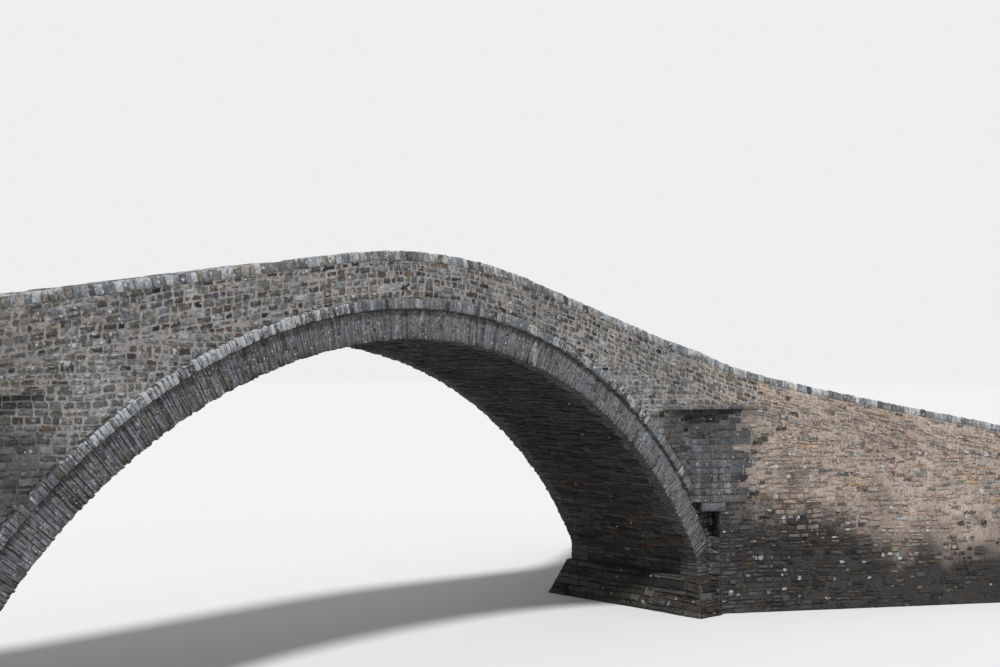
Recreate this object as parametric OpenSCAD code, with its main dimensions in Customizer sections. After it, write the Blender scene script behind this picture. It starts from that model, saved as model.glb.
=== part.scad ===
// Packhorse bridge: one high segmental arch in sandstone, humped road, splayed wings.
// Millimetres, +Z up. X runs along the bridge, the front face looks toward -Y.
// The origin is under the middle of the arch, at the level of the lowest footing.

/* [Arch] */
// Clear span between the springings
arch_span = 15750; // [13000:50:18000]
// Rise of the underside from the springing to the crown
arch_rise = 4640; // [4000:20:5200]
// Depth of the arch stones, square to the curve
ring_depth = 515; // [420:5:600]
// How far the face stones run into the barrel
ring_bond = 450; // [300:10:600]
// Upright stretch of the ring between footing and springing
impost_height = 360; // [200:10:600]

/* [Hood mould] */
// Height of the hood mould, square to the curve
hood_height = 170; // [120:5:220]
// How far the hood mould stands out of the wall face
hood_projection = 70; // [40:5:110]
// How far the hood stones are built into the wall
hood_bond = 180; // [100:10:260]
// Height of the hood mould's ends over the slabs that bridge the recess
hood_end_clearance = 100; // [60:10:400]

/* [Body] */
// Width over the two faces
bridge_width = 3600; // [3000:20:4200]
// Thickness of the spandrel and wing walls
wall_thickness = 600; // [480:10:700]
// How far the wing corner stands inside the springing line
corner_inset = 225; // [150:5:350]
// Length of the solid abutment behind the arch ring
abutment_length = 1500; // [1200:20:2200]

/* [Road and parapets] */
// Radius of the hump over the crown
hump_radius = 10800; // [9000:100:14000]
// Fall of the right ramp, in percent
right_ramp_fall = 26; // [18:1:30]
// Fall of the left ramp, in percent
left_ramp_fall = 16.5; // [12:0.5:24]
// Height of the parapet's top over the road
parapet_height = 820; // [700:10:950]
// Thickness of the parapets
parapet_thickness = 380; // [300:10:440]
// Height of the coping stones, set on edge
coping_height = 170; // [130:5:220]
// How far the coping oversails the parapet on each side
coping_oversail = 20; // [10:5:40]
// Thickness of the stone paving
paving_thickness = 110; // [80:5:140]
// Masonry between the back of the ring and the paving at the crown
crown_cover = 67; // [50:1:160]

/* [Wings] */
// Angle that each wing turns out from the face
wing_angle = 33; // [24:1:40]
// Length of the wings along the bridge
wing_reach = 6800; // [5000:100:8000]
// Fall of the wing coping where it leaves the corner, in percent
wing_fall_first = 45; // [30:1:50]
// Fall of the wing coping further out, in percent
wing_fall_last = 18.5; // [12:0.5:24]
// Length over which the wing coping eases into its last fall
wing_easing = 1080; // [700:20:1500]

/* [Corners] */
// How far back from the corner the curved wall starts on the face
corner_face_reach = 900; // [700:10:1200]
// How far out from the corner the curved wall runs into the wing
corner_wing_reach = 1540; // [1250:10:1900]
// Height of the curved wall from its ledge to the coping's top, at the corner
corner_wall_height = 1270; // [1150:10:1500]
// Height of each corbel course under the curved wall
corbel_height = 120; // [90:5:160]
// How far back from the corner the upper corbel course starts on the face
corbel_face_reach = 360; // [300:10:600]
// How far out from the corner the upper corbel course runs into the wing
corbel_wing_reach = 1020; // [800:10:1200]
// How far each end of the lower corbel course steps back from the upper one
corbel_step = 145; // [80:5:200]
// Width of the recess between the ring and the end of the wing wall
recess_width = 660; // [450:10:800]
// Height of the recess up to the slabs that bridge it
recess_height = 2210; // [1900:10:2400]
// Height of the recess's floor
recess_floor = 1620; // [1300:10:1800]
// Thickness of the lower bridging slab
lower_slab_thickness = 190; // [150:5:230]
// How far out from the corner the lower slab starts
lower_slab_start = 220; // [100:10:300]
// How far the lower slab bears on the wing wall
lower_slab_bearing = 120; // [80:10:300]
// Thickness of the upper bridging slab
slab_thickness = 150; // [110:5:180]
// How far the upper slab bears on the wing wall
slab_bearing = 600; // [350:10:800]
// How far the slabs stand out of the wall face
slab_projection = 40; // [20:5:60]
// How far the slabs run into the wing wall
slab_depth = 450; // [300:10:480]

/* [Footings] */
// Height of the footing
footing_height = 790; // [600:10:1000]
// How far the footing stands out of the arch at its top
footing_ledge = 110; // [60:10:160]
// How far the footing's foot stands out of the arch
footing_spread = 420; // [260:10:500]

/* [Hidden] */

// Circles of this many sides stand for true arcs
$fn = 720;
// Larger than anything on the bridge
beyond = 40000;

// Names of the sides: which way they lie from the middle
LEFT = -1;
RIGHT = 1;
FRONT = -1;
BACK = 1;

// Arch
half_span = arch_span / 2;
arch_radius = (half_span * half_span + arch_rise * arch_rise) / (2 * arch_rise);
springing_z = footing_height + impost_height;
centre_z = springing_z + arch_rise - arch_radius;
ring_outer = arch_radius + ring_depth;
hood_outer = ring_outer + hood_height;
ring_back_x = sqrt(ring_outer * ring_outer - pow(springing_z - centre_z, 2));

// Body
face_y = bridge_width / 2;
corner_x = half_span - corner_inset;
abutment_x = ring_back_x + abutment_length;
end_x = corner_x + wing_reach;

// Road line: the coping's top, from which the parapet, the road and the walls hang
formation_drop = parapet_height + paving_thickness;
crown_top_z = centre_z + ring_outer + crown_cover + formation_drop;
// Straight stretches that stand for half of the hump and for a wing's curved fall
hump_stretches = 6;
wing_stretches = 22;

// Corner
bend_start_x = corner_x - corner_face_reach;
corbel_courses = 2;
lower_slab_top_z = recess_height + lower_slab_thickness;
slab_top_z = lower_slab_top_z + slab_thickness;
// Where the wing wall's lower end stands, in a plane square to the bridge's face
wing_foot_x = corner_x + recess_width * cos(wing_angle);

// Radial end of the hood mould, in degrees above the horizontal through the arch centre
hood_end_angle = asin((slab_top_z + hood_end_clearance - centre_z) / ring_outer);

function ramp_fall(side) = (side == RIGHT ? right_ramp_fall : left_ramp_fall) / 100;
// Where the hump's arc meets the straight ramp
function ramp_start(side) = hump_radius * sin(atan(ramp_fall(side)));
function hump_z(x) = crown_top_z - hump_radius + sqrt(hump_radius * hump_radius - x * x);
function ramp_z(side, x) = hump_z(ramp_start(side)) - ramp_fall(side) * (x - ramp_start(side));
function wing_drop(s) = wing_fall_last / 100 * s
    + (wing_fall_first - wing_fall_last) / 100 * wing_easing * (1 - exp(-s / wing_easing));
// Height of the coping's top at a distance x from mid-span
function exact_top(side, x) =
    x < ramp_start(side) ? hump_z(x)
    : x < corner_x ? ramp_z(side, x)
    : ramp_z(side, corner_x) - wing_drop((x - corner_x) / cos(wing_angle));
// Stations along one half, at which every sloping surface has its bends
function half_stations(side) = concat(
    [for (i = [0 : hump_stretches - 1]) ramp_start(side) * i / hump_stretches],
    [ramp_start(side)],
    [for (i = [0 : wing_stretches - 1]) corner_x + wing_reach * i / wing_stretches],
    [end_x]);
function half_line(side) = [for (x = half_stations(side)) [x, exact_top(side, x)]];
RIGHT_LINE = half_line(RIGHT);
LEFT_LINE = half_line(LEFT);
function side_line(side) = side == RIGHT ? RIGHT_LINE : LEFT_LINE;
// Points of the coping's top line from x0 to x1, in one half
function top_points(side, x0, x1) = concat(
    [[x0, lookup(x0, side_line(side))]],
    [for (p = side_line(side)) if (p[0] > x0 && p[0] < x1) p],
    [[x1, lookup(x1, side_line(side))]]);
function reversed(list) = [for (i = [len(list) - 1 : -1 : 0]) list[i]];
function lowered(list, drop) = [for (p = list) [p[0], p[1] - drop]];
// Height of the curved wall's ledge
function ledge_z(side) = exact_top(side, corner_x) - corner_wall_height;

// A corner curve leaves the face some way back from the corner and runs out along the wing.
// Both distances are its reach: [on the face, on the wing].
CORNER_REACH = [corner_face_reach, corner_wing_reach];
function corbel_reach(course) = [
    corbel_face_reach - (course - 1) * corbel_step,
    corbel_wing_reach - (course - 1) * corbel_step];
// Radius of the arc that meets the face at one end and is tangent to the wing at the other
function bend_radius(reach) =
    (reach * reach + 2 * reach[0] * reach[1] * cos(wing_angle)) / (2 * reach[0] * sin(wing_angle));
// Plan of the point that the arc turns round
function bend_centre(reach) = [
    corner_x + reach[1] * cos(wing_angle) - bend_radius(reach) * sin(wing_angle),
    -face_y - reach[1] * sin(wing_angle) - bend_radius(reach) * cos(wing_angle)];

// Stands a side view up: its X stays, its Y becomes Z, and it fills all widths
module side_slice(from_y = -beyond / 2, to_y = beyond / 2)
    translate([0, to_y, 0]) rotate([90, 0, 0]) linear_extrude(to_y - from_y) children();

// Side view, in one half, between two lines that lie below the coping's top line
module half_band(side, x0, x1, drop_top, drop_bottom)
    polygon(concat(
        lowered(top_points(side, x0, x1), drop_top),
        reversed(lowered(top_points(side, x0, x1), drop_bottom))));

// Side view, in one half, of all that lies under a line below the coping's top line
module half_under(side, x0, x1, drop)
    polygon(concat(lowered(top_points(side, x0, x1), drop), [[x1, 0], [x0, 0]]));

// Puts a piece made for the right front corner in any of the four
module at_corner(side, face)
    mirror([side == LEFT ? 1 : 0, 0, 0]) mirror([0, face == BACK ? 1 : 0, 0]) children();

// Puts a piece made for the right half in either
module at_side(side)
    mirror([side == LEFT ? 1 : 0, 0, 0]) children();

// Puts a piece made for the front in either face
module at_face(face)
    mirror([0, face == BACK ? 1 : 0, 0]) children();

// Side view of a disc about the arch centre, cut to upright sides below the springing
module arch_outline(radius, half_width)
    intersection() {
        translate([0, centre_z]) circle(radius);
        translate([-half_width, centre_z]) square([2 * half_width, beyond]);
    }

// Side view of the arch opening
module opening_shape()
    arch_outline(arch_radius, half_span);

// Side view of everything inside the back of the ring
module ring_outline()
    arch_outline(ring_outer, ring_back_x);

// Side view of the ring, standing on the footings
module ring_shape()
    difference() {
        ring_outline();
        opening_shape();
        translate([-beyond / 2, footing_height - beyond]) square([beyond, beyond]);
    }

module arch_barrel()
    color("#5d574d")
    side_slice(ring_bond - face_y, face_y - ring_bond) ring_shape();

module arch_ring(face)
    color("#827c74")
    at_face(face) side_slice(-face_y, ring_bond - face_y) ring_shape();

// Side view of the hood mould
module hood_shape()
    difference() {
        translate([0, centre_z]) circle(hood_outer);
        translate([0, centre_z]) circle(ring_outer);
        for (side = [LEFT, RIGHT])
            at_hood_end(side) square([beyond, beyond]);
        translate([-beyond / 2, centre_z - beyond]) square([beyond, beyond]);
    }

// Turns what is drawn so that its upper edge is the radial end of the hood mould
module at_hood_end(side)
    mirror([side == LEFT ? 1 : 0, 0])
    translate([0, centre_z]) rotate(hood_end_angle) translate([0, -beyond]) children();

module hood_mould(face)
    color("#8d8a85")
    at_face(face) side_slice(-face_y - hood_projection, hood_bond - face_y) hood_shape();

// Footing of one side: battered toward the opening and beyond both faces
module footing(side)
    color("#57514a")
    at_side(side)
    difference() {
        intersection() {
            side_slice() polygon([
                [half_span - footing_spread, 0],
                [half_span - footing_ledge, footing_height],
                [ring_back_x, footing_height],
                [ring_back_x, 0]]);
            rotate([0, 0, 90]) side_slice() polygon([
                [-face_y - footing_spread, 0],
                [-face_y - footing_ledge, footing_height],
                [face_y + footing_ledge, footing_height],
                [face_y + footing_spread, 0]]);
        }
        for (face = [FRONT, BACK])
            at_face(face) linear_extrude(beyond) wing_foot_plan();
    }

// Solid masonry behind the ring, up to the paving
module abutment(side)
    color("#6e675c")
    at_side(side)
    difference() {
        side_slice(-face_y, face_y) difference() {
            half_under(side, corner_x, abutment_x, formation_drop);
            ring_outline();
        }
        for (face = [FRONT, BACK])
            at_face(face) corner_block(side);
    }

// Wall over one haunch, from the ring up to the paving
module spandrel(side, face)
    color("#8b8376")
    at_corner(side, face)
    difference() {
        side_slice(-face_y, wall_thickness - face_y) difference() {
            half_under(side, 0, corner_x, formation_drop);
            ring_outline();
        }
        side_slice(-face_y - hood_projection, hood_bond - face_y) hood_shape();
        corner_block(side);
    }

// Rubble between the spandrels, over the barrel
module arch_fill()
    color("#7a6a52")
    for (side = [LEFT, RIGHT])
        at_side(side)
        side_slice(wall_thickness - face_y, face_y - wall_thickness) difference() {
            half_under(side, 0, corner_x, formation_drop);
            ring_outline();
        }

// Plan of what lies between the outer lines of the two wings, brought in by an inset
module approach_plan(inset) {
    inner_y = face_y - inset;
    start_x = corner_x + inset * tan(wing_angle / 2);
    flare = (end_x - start_x) * tan(wing_angle);
    polygon([
        [0, -inner_y], [start_x, -inner_y], [end_x, -inner_y - flare],
        [end_x, inner_y + flare], [start_x, inner_y], [0, inner_y]]);
}

// Rubble between the wing walls, behind the abutment
module approach_fill(side)
    color("#7a6a52")
    at_side(side)
    difference() {
        intersection() {
            linear_extrude(beyond) approach_plan(wall_thickness);
            side_slice() half_under(side, corner_x, end_x, formation_drop);
        }
        translate([0, -face_y, -beyond / 2]) cube([abutment_x, bridge_width, beyond]);
    }

// Plan of all that lies between the two ends of a corner curve
module between_bend_ends(reach)
    intersection() {
        translate([corner_x - reach[0], -beyond]) square([beyond, 2 * beyond]);
        translate(bend_centre(reach)) rotate(-wing_angle)
            translate([-beyond, 0]) square([beyond, beyond]);
    }

// Plan of a curved wall or course that cuts the corner, with all in front of it
module corner_cut(reach)
    intersection() {
        translate(bend_centre(reach)) circle(bend_radius(reach) + parapet_thickness);
        between_bend_ends(reach);
    }

// Plan of a curved wall or course that cuts the corner, as thick as the parapets
module corner_sector(reach)
    difference() {
        corner_cut(reach);
        translate(bend_centre(reach)) circle(bend_radius(reach));
    }

// Plan of all in front of a line that runs at an inset behind the outer faces of the parapets
module in_front_of_parapets(inset) {
    translate([-beyond, -beyond]) square([beyond + bend_start_x, beyond - face_y + inset]);
    intersection() {
        translate(bend_centre(CORNER_REACH)) circle(bend_radius(CORNER_REACH) + inset);
        translate([bend_start_x, -beyond]) square([beyond, 2 * beyond]);
    }
    wing_strip(corner_wing_reach, beyond, beyond, inset);
}

// Plan of the paving: all that lies between the parapets
module road_plan()
    difference() {
        approach_plan(0);
        for (face = [FRONT, BACK])
            mirror([0, face == BACK ? 1 : 0]) in_front_of_parapets(parapet_thickness);
    }

module roadway()
    color("#9a917f")
    for (side = [LEFT, RIGHT])
        at_side(side)
        intersection() {
            linear_extrude(beyond) road_plan();
            side_slice() half_band(side, 0, end_x, parapet_height, formation_drop);
        }

module parapet(face)
    color("#968d7e")
    at_face(face)
    difference() {
        for (side = [LEFT, RIGHT])
            at_side(side)
            side_slice(-face_y, parapet_thickness - face_y)
            half_band(side, 0, bend_start_x, coping_height, formation_drop);
        side_slice(-face_y - hood_projection, hood_bond - face_y) hood_shape();
    }

module coping(face)
    color("#a9a49b")
    at_face(face)
    for (side = [LEFT, RIGHT])
        at_side(side)
        side_slice(-face_y - coping_oversail, parapet_thickness + coping_oversail - face_y)
        half_band(side, 0, bend_start_x, 0, coping_height);

// Plan of a strip along the wing's outer line, from its corner
module wing_strip(from, to, outside, inside)
    translate([corner_x, -face_y]) rotate(-wing_angle)
    translate([from, -outside]) square([to - from, outside + inside]);

// Plan of the wing wall, in front of the bridge's face
module wing_plan()
    intersection() {
        wing_strip(0, beyond, 0, wall_thickness);
        translate([0, -beyond - face_y]) square([end_x, beyond]);
    }

// Plan of the wing wall below the recess's floor
module wing_foot_plan()
    intersection() {
        wing_plan();
        translate([wing_foot_x, -beyond]) square([beyond, beyond]);
    }

module wing_wall(side, face)
    color("#8f7c69")
    at_corner(side, face)
    difference() {
        intersection() {
            linear_extrude(beyond) wing_plan();
            side_slice() half_under(side, corner_x, end_x, formation_drop);
        }
        recess_block();
        slab_block();
        corner_block(side);
    }

// The recess between the ring and the wing wall: over its floor it is cut square into the wing,
// and below it goes no further than a plane square to the bridge's face
module recess_block() {
    translate([0, 0, recess_floor]) linear_extrude(lower_slab_top_z - recess_floor)
        wing_strip(-recess_width, recess_width, beyond, wall_thickness);
    translate([wing_foot_x - beyond, -beyond, recess_floor - beyond]) cube(beyond);
}

// Plan of a bridging slab, in front of the bridge's face
module slab_plan(from, bearing)
    intersection() {
        wing_strip(from, recess_width + bearing, slab_projection, slab_depth);
        translate([corner_x - slab_projection, -beyond - face_y]) square([beyond, beyond]);
    }

module slab_block() {
    translate([0, 0, recess_height]) linear_extrude(lower_slab_thickness)
        slab_plan(lower_slab_start, lower_slab_bearing);
    translate([0, 0, lower_slab_top_z]) linear_extrude(slab_thickness)
        slab_plan(-recess_width, slab_bearing);
}

module slabs(side, face)
    color("#6f6d69")
    at_corner(side, face) slab_block();

// Gives a plan the height of a corbel course
module at_course(side, course)
    translate([0, 0, ledge_z(side) - course * corbel_height]) linear_extrude(corbel_height) children();

// Room in the masonry for the curved wall and its corbels, up to far above the coping
module corner_block(side) {
    translate([0, 0, ledge_z(side)]) linear_extrude(beyond) corner_cut(CORNER_REACH);
    for (course = [1 : corbel_courses])
        at_course(side, course) corner_cut(corbel_reach(course));
}

module corner_wall(side, face)
    color("#958b7b")
    at_corner(side, face)
    intersection() {
        translate([0, 0, ledge_z(side)]) linear_extrude(beyond)
            corner_sector(CORNER_REACH);
        side_slice() half_under(side, 0, end_x, coping_height);
    }

module corbels(side, face)
    color("#77726a")
    at_corner(side, face)
    for (course = [1 : corbel_courses])
        at_course(side, course) corner_sector(corbel_reach(course));

module wing_parapet(side, face)
    color("#8f7c69")
    at_corner(side, face)
    intersection() {
        linear_extrude(beyond) intersection() {
            wing_strip(corner_wing_reach, beyond, 0, parapet_thickness);
            translate([0, -beyond]) square([end_x, 2 * beyond]);
        }
        side_slice() half_band(side, corner_x, end_x, coping_height, formation_drop);
    }

module wing_coping(side, face)
    color("#a39b90")
    at_corner(side, face)
    intersection() {
        linear_extrude(beyond) difference() {
            in_front_of_parapets(parapet_thickness + coping_oversail);
            in_front_of_parapets(-coping_oversail);
        }
        side_slice() half_band(side, bend_start_x, end_x, 0, coping_height);
    }

arch_barrel();
arch_ring(FRONT);  // front_arch_ring
arch_ring(BACK);  // back_arch_ring
hood_mould(FRONT);  // front_hood_mould
hood_mould(BACK);  // back_hood_mould
footing(LEFT);  // left_footing
footing(RIGHT);  // right_footing
abutment(LEFT);  // left_abutment
abutment(RIGHT);  // right_abutment
spandrel(LEFT, FRONT);  // front_left_spandrel
spandrel(RIGHT, FRONT);  // front_right_spandrel
spandrel(LEFT, BACK);  // back_left_spandrel
spandrel(RIGHT, BACK);  // back_right_spandrel
arch_fill();
approach_fill(LEFT);  // left_approach_fill
approach_fill(RIGHT);  // right_approach_fill
roadway();
parapet(FRONT);  // front_parapet
parapet(BACK);  // back_parapet
coping(FRONT);  // front_coping
coping(BACK);  // back_coping
wing_wall(LEFT, FRONT);  // front_left_wing_wall
wing_wall(RIGHT, FRONT);  // front_right_wing_wall
wing_wall(LEFT, BACK);  // back_left_wing_wall
wing_wall(RIGHT, BACK);  // back_right_wing_wall
wing_parapet(LEFT, FRONT);  // front_left_wing_parapet
wing_parapet(RIGHT, FRONT);  // front_right_wing_parapet
wing_parapet(LEFT, BACK);  // back_left_wing_parapet
wing_parapet(RIGHT, BACK);  // back_right_wing_parapet
wing_coping(LEFT, FRONT);  // front_left_wing_coping
wing_coping(RIGHT, FRONT);  // front_right_wing_coping
wing_coping(LEFT, BACK);  // back_left_wing_coping
wing_coping(RIGHT, BACK);  // back_right_wing_coping
corner_wall(LEFT, FRONT);  // front_left_corner_wall
corner_wall(RIGHT, FRONT);  // front_right_corner_wall
corner_wall(LEFT, BACK);  // back_left_corner_wall
corner_wall(RIGHT, BACK);  // back_right_corner_wall
corbels(LEFT, FRONT);  // front_left_corbels
corbels(RIGHT, FRONT);  // front_right_corbels
corbels(LEFT, BACK);  // back_left_corbels
corbels(RIGHT, BACK);  // back_right_corbels
slabs(LEFT, FRONT);  // front_left_slabs
slabs(RIGHT, FRONT);  // front_right_slabs
slabs(LEFT, BACK);  // back_left_slabs
slabs(RIGHT, BACK);  // back_right_slabs
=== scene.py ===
"""Looks of the packhorse bridge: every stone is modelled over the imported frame.

Lengths are metres, +Z is up, X runs along the bridge and the front face looks toward -Y.
A wall is laid out flat, in a length along it and a height, and each stone is then stood
up by the wall's own placing function. The frame's own solids show as the mortar between
the stones.
"""
import math
import random
from bisect import bisect
from collections import namedtuple

import bpy
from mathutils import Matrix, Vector


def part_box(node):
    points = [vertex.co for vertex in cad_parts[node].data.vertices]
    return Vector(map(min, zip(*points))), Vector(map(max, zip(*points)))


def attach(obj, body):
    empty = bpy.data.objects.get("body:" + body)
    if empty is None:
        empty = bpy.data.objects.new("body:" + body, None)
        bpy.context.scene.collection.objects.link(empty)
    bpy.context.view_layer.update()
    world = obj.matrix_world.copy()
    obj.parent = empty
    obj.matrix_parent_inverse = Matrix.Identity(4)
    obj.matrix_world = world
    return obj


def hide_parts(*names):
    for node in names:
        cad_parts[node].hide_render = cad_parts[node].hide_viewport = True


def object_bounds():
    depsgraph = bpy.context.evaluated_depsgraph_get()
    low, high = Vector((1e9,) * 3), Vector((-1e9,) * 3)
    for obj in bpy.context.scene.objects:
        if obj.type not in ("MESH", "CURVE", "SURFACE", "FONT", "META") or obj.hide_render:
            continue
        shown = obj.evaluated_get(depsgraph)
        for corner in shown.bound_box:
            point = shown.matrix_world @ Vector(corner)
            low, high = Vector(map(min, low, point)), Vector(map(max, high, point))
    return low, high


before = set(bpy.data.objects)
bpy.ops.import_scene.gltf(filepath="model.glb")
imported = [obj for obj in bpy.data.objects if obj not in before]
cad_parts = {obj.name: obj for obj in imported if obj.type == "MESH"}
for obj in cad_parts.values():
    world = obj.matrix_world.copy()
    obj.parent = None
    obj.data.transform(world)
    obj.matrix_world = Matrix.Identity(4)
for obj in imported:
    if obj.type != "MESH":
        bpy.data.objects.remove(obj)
cad_low, cad_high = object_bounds()

# Which way a corner lies from the middle of the bridge
LEFT = -1
RIGHT = 1
FRONT = -1
BACK = 1
SIDE_NAMES = {LEFT: "left", RIGHT: "right"}
FACE_NAMES = {FRONT: "front", BACK: "back"}

# Driving sizes of the bridge, which the frame's boxes don't give
SPAN = 15.75
RISE = 4.64
RING_DEPTH = 0.515
RECESS_WIDTH = 0.66
RECESS_FLOOR = 1.62
LOWER_SLAB = 0.19
LOWER_SLAB_START = 0.22
LOWER_SLAB_BEARING = 0.12
UPPER_SLAB_BEARING = 0.6
CORBEL_COURSES = 2
CORBEL_STEP = 0.145
FOOTING_LEDGE = 0.11
ROAD_DEPTH = 0.82

# How far the end faces' backing is set back, so that their stones stay in the frame's box
END_SET_BACK = 0.035
# How far short of an end the last stones stop: the wings', and the others'
WING_END_GAP = 0.018
END_GAP = 0.01
# Height of the band of stones that follows the coping, and how near to its top a course may start
UPPER_DEPTH = 0.72
UPPER_MARGIN = 0.02
# Height of the squared stones that stand on each ledge, and how far their row runs past its arc
SHELF_HEIGHT = 0.085
SHELF_OVERRUN = 0.05
# How far the courses of squared blocks run along the wing from the corner
BLOCK_RUN = (0.9, 1.45)
# How far the stones of the ring, its legs and the hood reach back into the wall
RING_REACH = (0.14, 0.34)
LEG_REACH = 0.45
HOOD_REACH = 0.12
# How often a stone of the ring is made of two, and how far up the ring the two then meet
SPLIT_SHARE = 0.22
SPLIT_RISE = (0.16, 0.36)
# How far the tops of the coping's stones lean over, along the bridge
COPING_LEAN = -0.035
# A hair's breadth, within which things count as level or flush
HAIR = 0.001

ring_low, ring_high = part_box("front_arch_ring")
hood_low, hood_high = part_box("front_hood_mould")
parapet_low, parapet_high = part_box("front_parapet")
coping_low, coping_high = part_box("front_coping")
footing_low, footing_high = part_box("right_footing")
corbels_low, corbels_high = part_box("front_right_corbels")
slabs_low, slabs_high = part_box("front_right_slabs")

HALF_SPAN = SPAN / 2
ARCH_RADIUS = (HALF_SPAN**2 + RISE**2) / (2 * RISE)
RING_OUTER = ARCH_RADIUS + RING_DEPTH
CENTRE_Z = ring_high.z - RING_OUTER
SPRINGING_Z = CENTRE_Z + math.sqrt(ARCH_RADIUS**2 - HALF_SPAN**2)
SPRINGING_ANGLE = math.asin((SPRINGING_Z - CENTRE_Z) / ARCH_RADIUS)
SOFFIT_LENGTH = ARCH_RADIUS * (math.pi - 2 * SPRINGING_ANGLE)
RING_BACK_X = ring_high.x
HOOD_OUTER = hood_high.z - CENTRE_Z
HOOD_END = math.asin((hood_low.z - CENTRE_Z) / RING_OUTER)
FACE_Y = -ring_low.y
HOOD_PROJECTION = -FACE_Y - hood_low.y
FOOTING_TOP = footing_high.z
FOOTING_SPREAD = HALF_SPAN - footing_low.x
BATTER = FOOTING_SPREAD - FOOTING_LEDGE
PARAPET_THICKNESS = parapet_high.y - parapet_low.y
COPING_HEIGHT = coping_high.z - parapet_high.z
COPING_OVERSAIL = -FACE_Y - coping_low.y
CORNER_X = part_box("front_right_spandrel")[1].x
END_X = cad_high.x
WING_TANGENT = (-FACE_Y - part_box("front_right_wing_wall")[0].y) / (END_X - CORNER_X)
WING_ANGLE = math.atan(WING_TANGENT)
WING_COS = math.cos(WING_ANGLE)
WING_SIN = math.sin(WING_ANGLE)
WING_LENGTH = (END_X - CORNER_X) / WING_COS
CURVE_START = parapet_high.x
CORBEL_HEIGHT = (corbels_high.z - corbels_low.z) / CORBEL_COURSES
SLAB_LOW = slabs_low.z
SLAB_HIGH = slabs_high.z
SLAB_JOINT = SLAB_LOW + LOWER_SLAB
LEDGE_Z = {side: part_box(f"front_{name}_corner_wall")[0].z for side, name in SIDE_NAMES.items()}
# Where the wing wall's lower end stands, below the recess's floor
WING_FOOT_X = CORNER_X + RECESS_WIDTH * WING_COS
# Where the end of the wing wall over that floor meets the bridge's face
RECESS_BACK_X = CORNER_X + RECESS_WIDTH / WING_COS


def coping_stations(side):
    """The coping's top along one half, from the frame, as distances from mid-span and heights."""
    tops = {}
    for name in ("front_coping", f"front_{SIDE_NAMES[side]}_wing_coping"):
        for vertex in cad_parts[name].data.vertices:
            distance = round(vertex.co.x * side, 3)
            if distance >= 0:
                tops[distance] = max(tops.get(distance, 0.0), vertex.co.z)
    # A corner of the underside is one that another corner close by stands well over
    return sorted(
        (x, z) for x, z in tops.items()
        if not any(abs(a - x) < 0.15 and b - abs(a - x) / 2 > z + 0.03 for a, b in tops.items()))


STATIONS = {side: coping_stations(side) for side in SIDE_NAMES}


def top_at(side, distance):
    """Height of the coping's top at a distance from mid-span."""
    stations = STATIONS[side]
    if distance >= stations[-1][0]:
        return stations[-1][1]
    after = max(1, bisect(stations, (distance, math.inf)))
    (x0, z0), (x1, z1) = stations[after - 1:after + 1]
    return z0 + (z1 - z0) * (distance - x0) / (x1 - x0)


def top_over(x):
    """Height of the coping's top over a place on the bridge."""
    return top_at(RIGHT if x >= 0 else LEFT, abs(x))


# Flat shapes: outlines turn left, and a cut takes an outline and gives what it keeps of it

def clamped(value):
    """A value, kept between 0 and 1."""
    return max(0.0, min(1.0, value))


def oblong(u0, u1, v0, v1):
    """The outline between two lengths and two heights."""
    return [(u0, v0), (u1, v0), (u1, v1), (u0, v1)]


def limits(outline):
    """The lengths and the heights between which an outline lies."""
    lengths, heights = zip(*outline)
    return min(lengths), max(lengths), min(heights), max(heights)


def middle(outline):
    """Mean of an outline's corners."""
    count = len(outline)
    return sum(p[0] for p in outline) / count, sum(p[1] for p in outline) / count


def area(outline):
    """Area of an outline."""
    total = 0.0
    for i, (u, v) in enumerate(outline):
        before_u, before_v = outline[i - 1]
        total += before_u * v - u * before_v
    return total / 2


def clipped(outline, normal, limit):
    """The part of a convex outline that lies at least limit along normal."""
    kept = []
    if not outline:
        return kept
    before = outline[-1]
    was = normal[0] * before[0] + normal[1] * before[1] - limit
    for here in outline:
        now = normal[0] * here[0] + normal[1] * here[1] - limit
        if (now >= 0) != (was >= 0):
            share = was / (was - now)
            du, dv = here[0] - before[0], here[1] - before[1]
            kept.append((before[0] + du * share, before[1] + dv * share))
        if now >= 0:
            kept.append(here)
        before, was = here, now
    return kept


def shrunk(outline, inset):
    """A convex outline with every edge moved in."""
    result = outline
    for i, here in enumerate(outline):
        before = outline[i - 1]
        du, dv = here[0] - before[0], here[1] - before[1]
        length = math.hypot(du, dv)
        if length > 1e-6:
            normal = (-dv / length, du / length)
            result = clipped(result, normal, normal[0] * here[0] + normal[1] * here[1] + inset)
    return result


def softened(outline, rng, cut):
    """An outline with its corners knocked off and its long edges bent, or as it is without a cut."""
    if not cut:
        return outline
    result = []
    count = len(outline)
    for i, here in enumerate(outline):
        before, after = outline[i - 1], outline[(i + 1) % count]
        for other in (before, after):
            length = math.hypot(other[0] - here[0], other[1] - here[1])
            share = min(0.4, cut * rng.uniform(0.4, 1.5) / max(length, 1e-4))
            result.append((here[0] + (other[0] - here[0]) * share, here[1] + (other[1] - here[1]) * share))
        du, dv = after[0] - here[0], after[1] - here[1]
        length = math.hypot(du, dv)
        if length > LONG_EDGE:
            share = rng.uniform(0.35, 0.65)
            bend = rng.uniform(-BEND, BEND)
            result.append((
                here[0] + du * share - dv / length * bend, here[1] + dv * share + du / length * bend))
    return result


def over(line, sign=1.0):
    """A cut that keeps what lies over a line, given as a height for each length along the wall."""
    def cut(outline):
        u, _ = middle(outline)
        reach = 0.05
        rise = (line(u + reach) - line(u - reach)) / (2 * reach)
        return clipped(outline, (-sign * rise, sign), sign * (line(u) - rise * u))
    return cut


def below(line):
    """A cut that keeps what lies below such a line."""
    return over(line, -1.0)


def past(normal, limit):
    """A cut that keeps what lies at least limit along normal."""
    return lambda outline: clipped(outline, normal, limit)


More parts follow.
